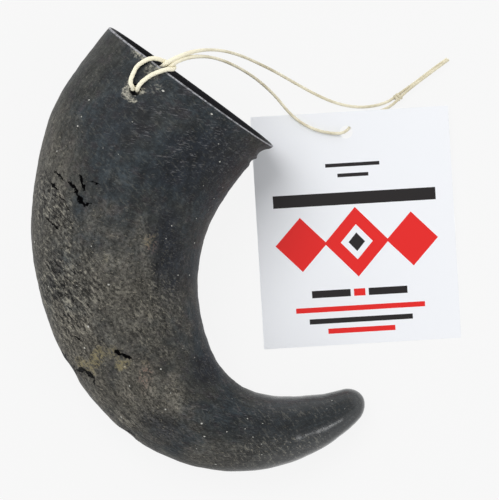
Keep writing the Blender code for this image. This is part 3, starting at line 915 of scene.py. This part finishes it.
def addHollowAndEdge(tree, skin, colour):
    # the dark hollow, and a pale line along the sawn edge of the outside, a painted highlight where the
    # rim's edge catches the light
    maths, remap, mixed, _ = shaderTools(tree)
    inHollow = mixed(remap(skin["cloud"], 0.35, 0.65), hornColour("hollowDark"), hornColour("hollowLight"))
    colour = mixed(skin["hollow"], colour, inHollow)
    edge = maths("MULTIPLY", remap(skin["along"], *hornLook["sawnEdgeHighlight"]), skin["outside"])
    edge = maths("MULTIPLY", edge, remap(skin["grit"], 0.38, 0.56, 0.25, 1.0))
    return mixed(edge, colour, hornColour("sawnEdgeHighlight"))


def makeBump(tree, skin):
    # The cracks stay out of these heights. With them the material has more steps than the renderer
    # can hold, and it turns black.
    maths, _, _, _ = shaderTools(tree)
    heights = maths("MULTIPLY", skin["streak"], hornLook["streakHeight"])
    for name, height in hornLook["heights"].items():
        heights = maths("ADD", heights, maths("MULTIPLY", skin[name], height))
    uneven = maths("SUBTRACT", 1.0, maths("MULTIPLY", skin["towardsTip"], 0.8))
    heights = maths("MULTIPLY", heights, maths("MULTIPLY", skin["gritty"], uneven))
    heights = maths("SUBTRACT", heights, maths("MULTIPLY", skin["pitMask"], hornLook["pitDepth"]))
    return addNode(tree, "ShaderNodeBump", None, {
        "Height": heights, "Strength": 1.0, "Distance": 1.0}).outputs["Normal"]


def makeCrackGroup():
    # how deep a point is in a crack that runs straight between two places and tapers at its ends
    group = bpy.data.node_groups.new("crack", "ShaderNodeTree")
    for name, kind in (("Point", "Vector"), ("Start", "Vector"), ("End", "Vector"), ("Width", "Float")):
        group.interface.new_socket(name, in_out="INPUT", socket_type="NodeSocket" + kind)
    group.interface.new_socket("Depth", in_out="OUTPUT", socket_type="NodeSocketFloat")
    maths, remap, _, vectors = shaderTools(group)
    given = addNode(group, "NodeGroupInput").outputs
    run = vectors("SUBTRACT", given["End"], given["Start"])
    off = vectors("SUBTRACT", given["Point"], given["Start"])
    along = vectors("DOT_PRODUCT", off, run, "Value")
    whole = vectors("DOT_PRODUCT", run, run, "Value")
    share = maths("DIVIDE", along, whole, True)
    foot = addNode(group, "ShaderNodeVectorMath", {"operation": "SCALE"}, {
        0: run, "Scale": share}).outputs["Vector"]
    apart = vectors("DISTANCE", off, foot, "Value")
    offMiddle = maths("PINGPONG", share, 0.5)
    fullness = remap(offMiddle, 0.0, 0.5, 0.35, 1.1, "LINEAR")
    reach = maths("MULTIPLY", given["Width"], fullness)
    result = addNode(group, "NodeGroupOutput", None, {"Depth": remap(apart, reach, 0.0)})
    result.is_active_output = True
    return group


def drillHole(piece):
    # a round hole through the upper wall, square to the face
    bpy.context.view_layer.update()
    x, y = horn["holeAt"]
    above = Vector((x, y, 1.0))
    _, location, normal, _ = piece.ray_cast(above, Vector((0.0, 0.0, -1.0)))
    bm = bmesh.new()
    radius = horn["holeDiameter"] / 2
    bmesh.ops.create_cone(
        bm, cap_ends=True, segments=horn["holeSides"], radius1=radius, radius2=radius,
        depth=horn["holeDepth"])
    turn = normal.to_track_quat("Z", "Y").to_matrix().to_4x4()
    bmesh.ops.transform(bm, matrix=Matrix.Translation(location) @ turn, verts=bm.verts)
    drill = newPiece("drill", bm, piece.data.materials[0])
    cut = piece.modifiers.new("drilled hole", "BOOLEAN")
    cut.object = drill
    cut.operation = "DIFFERENCE"
    cut.solver = "EXACT"
    bpy.context.view_layer.update()
    evaluated = piece.evaluated_get(bpy.context.evaluated_depsgraph_get())
    drilled = bpy.data.meshes.new_from_object(evaluated)
    piece.modifiers.clear()
    piece.data = drilled
    bpy.data.objects.remove(drill)


def writeAttributes(mesh, points, grain, weights):
    # every point of the drilled mesh takes the values of the nearest point of the bent tube
    tree = KDTree(len(points))
    for i, point in enumerate(points):
        tree.insert(point, i)
    tree.balance()
    nearest = np.array([tree.find(v.co)[1] for v in mesh.vertices])
    attribute = mesh.attributes.new("horn grain", "FLOAT_VECTOR", "POINT")
    attribute.data.foreach_set("vector", grain[nearest].astype(np.float32).ravel())
    for name, channels in patchChannels.items():
        values = np.stack([weights[channel][nearest] for channel in channels], axis=1)
        attribute = mesh.attributes.new(name, "FLOAT_COLOR", "POINT")
        attribute.data.foreach_set("color", values.astype(np.float32).ravel())


def makeHorn():
    rings = horn["hollowRings"] + horn["hollowEndRings"] + horn["mouthRings"] + horn["sawnRings"]
    rings += horn["outerRings"] + horn["tipRings"] + horn["mouthRings"]
    bm = unitTube(horn["sides"], rings)
    for end in (0, rings - 1):
        corners = [v for v in bm.verts if round(v.co.z) == end]
        bmesh.ops.pointmerge(bm, verts=corners, merge_co=(0.0, 0.0, end))
    points, grain, weights = bendHorn(bm)
    placeVerts(bm, points)
    bmesh.ops.recalc_face_normals(bm, faces=bm.faces)
    piece = newPiece("horn_keratin", bm, makeHornMaterial())
    drillHole(piece)
    writeAttributes(piece.data, points, grain, weights)
    piece.data.shade_smooth()
    piece.data.set_sharp_from_angle(angle=horn["sharpEdge"])
    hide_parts("horn")
    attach(piece, "root")


makeHorn()
print("horn made")


# The card tag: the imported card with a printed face
tag = {
    "middle": (0.0607, 0.0090),
    "turn": math.radians(3.4),
    "card": "eceef2",
    "red": "e01f1c",
    "black": "1b1718",
}

# The printed ornament: ink, shape, middle and half size on the card
tagPrint = [
    {"ink": "black", "shape": "bar", "at": (0.0000, 0.0245), "half": (0.0105, 0.0007)},
    {"ink": "black", "shape": "bar", "at": (0.0000, 0.0205), "half": (0.0060, 0.0007)},
    {"ink": "black", "shape": "bar", "at": (0.0000, 0.0115), "half": (0.0315, 0.0024)},
    {"ink": "red", "shape": "lozenge", "at": (-0.0215, -0.0055), "half": (0.0100, 0.0105)},
    {"ink": "red", "shape": "lozenge", "at": (0.0000, -0.0055), "half": (0.0125, 0.0135)},
    {"ink": "red", "shape": "lozenge", "at": (0.0215, -0.0055), "half": (0.0100, 0.0105)},
    {"ink": "card", "shape": "lozenge", "at": (0.0000, -0.0055), "half": (0.0062, 0.0068)},
    {"ink": "black", "shape": "lozenge", "at": (0.0000, -0.0055), "half": (0.0032, 0.0036)},
    {"ink": "black", "shape": "bar", "at": (-0.0110, -0.0250), "half": (0.0075, 0.0014)},
    {"ink": "red", "shape": "bar", "at": (0.0000, -0.0250), "half": (0.0022, 0.0014)},
    {"ink": "black", "shape": "bar", "at": (0.0110, -0.0250), "half": (0.0075, 0.0014)},
    {"ink": "red", "shape": "bar", "at": (0.0000, -0.0310), "half": (0.0250, 0.0010)},
    {"ink": "black", "shape": "bar", "at": (0.0000, -0.0355), "half": (0.0200, 0.0010)},
    {"ink": "red", "shape": "bar", "at": (0.0000, -0.0395), "half": (0.0130, 0.0010)},
]


def makeTagMaterial():
    # coated white card, printed in red and black on its upper face
    material, tree, shader = newMaterial("printed card")
    maths, _, mixed, vectors = shaderTools(tree)
    place = addNode(tree, "ShaderNodeTexCoord").outputs["Object"]
    centred = vectors("SUBTRACT", place, (*tag["middle"], 0.0))
    turned = addNode(tree, "ShaderNodeVectorRotate", {"rotation_type": "Z_AXIS"}, {
        "Vector": centred, "Angle": -tag["turn"]}).outputs["Vector"]
    colour = linearColour(tag["card"])
    for mark in tagPrint:
        off = vectors("SUBTRACT", turned, (*mark["at"], 0.0))
        size = vectors("ABSOLUTE", off)
        share = vectors("DIVIDE", size, (*mark["half"], 1.0))
        parts = addNode(tree, "ShaderNodeSeparateXYZ", None, {"Vector": share}).outputs
        joined = maths("ADD" if mark["shape"] == "lozenge" else "MAXIMUM", parts["X"], parts["Y"])
        inked = maths("LESS_THAN", joined, 1.0)
        colour = mixed(inked, colour, linearColour(tag[mark["ink"]]))
    facing = addNode(tree, "ShaderNodeNewGeometry").outputs["Normal"]
    up = addNode(tree, "ShaderNodeSeparateXYZ", None, {"Vector": facing}).outputs["Z"]
    printed = maths("GREATER_THAN", up, 0.5)
    colour = mixed(printed, linearColour(tag["card"]), colour)
    tree.links.new(colour, shader.inputs["Base Color"])
    shader.inputs["Roughness"].default_value = 0.45
    shader.inputs["Specular IOR Level"].default_value = 0.35
    return material


def makeTag():
    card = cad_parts["tag"]
    material = makeTagMaterial()
    for slot in card.material_slots:
        slot.material = material


makeTag()
print("tag printed")


# The table and the light of a plain studio: brighter round the sides than overhead
studio = {
    "tableSize": 3.0,
    "tableDrop": 0.00005,
    "tableColour": "404040",
    "tableGlow": 0.88,
    "sides": 1.25,
    "overhead": 0.35,
    "sidesUpTo": 0.25,
    "overheadFrom": 0.85,
    "keyPower": 10.3,
    "keyAt": (-0.45, 0.55, 1.15),
    "keySize": 0.8,
    "fillPower": 1.5,
    "fillAt": (1.0, -0.42, 0.95),
    "fillSize": 0.20,
}


def makeTable():
    bm = bmesh.new()
    bmesh.ops.create_grid(bm, x_segments=1, y_segments=1, size=studio["tableSize"])
    bmesh.ops.translate(bm, vec=(0.0, 0.0, -studio["tableDrop"]), verts=bm.verts)
    material, _, shader = newMaterial("lit white table")
    shader.inputs["Base Color"].default_value = linearColour(studio["tableColour"])
    shader.inputs["Roughness"].default_value = 0.9
    shader.inputs["Specular IOR Level"].default_value = 0.0
    shader.inputs["Emission Color"].default_value = (1.0, 1.0, 1.0, 1.0)
    shader.inputs["Emission Strength"].default_value = studio["tableGlow"]
    table = newPiece("table", bm, material)
    table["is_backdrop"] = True


def makeLight():
    world = bpy.data.worlds.new("studio")
    bpy.context.scene.world = world
    world.use_nodes = True
    tree = world.node_tree
    direction = addNode(tree, "ShaderNodeTexCoord").outputs["Generated"]
    height = addNode(tree, "ShaderNodeSeparateXYZ", None, {"Vector": direction}).outputs["Z"]
    _, remap, _, _ = shaderTools(tree)
    strength = remap(
        height, studio["sidesUpTo"], studio["overheadFrom"], studio["sides"], studio["overhead"], "LINEAR")
    tree.links.new(strength, tree.nodes["Background"].inputs["Strength"])
    tree.nodes["Background"].inputs["Color"].default_value = (1.0, 1.0, 1.0, 1.0)
    for name in ("key", "fill"):
        data = bpy.data.lights.new(name, "AREA")
        data.energy = studio[name + "Power"]
        data.size = studio[name + "Size"]
        lamp = bpy.data.objects.new(name, data)
        lamp.location = studio[name + "At"]
        lamp.rotation_euler = (-lamp.location).to_track_quat("-Z", "Y").to_euler()
        bpy.context.scene.collection.objects.link(lamp)


makeTable()
makeLight()
bpy.context.scene.view_settings.view_transform = "Standard"
print("table and light made")

[[list(corner) for corner in box] for box in (cadBox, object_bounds())]
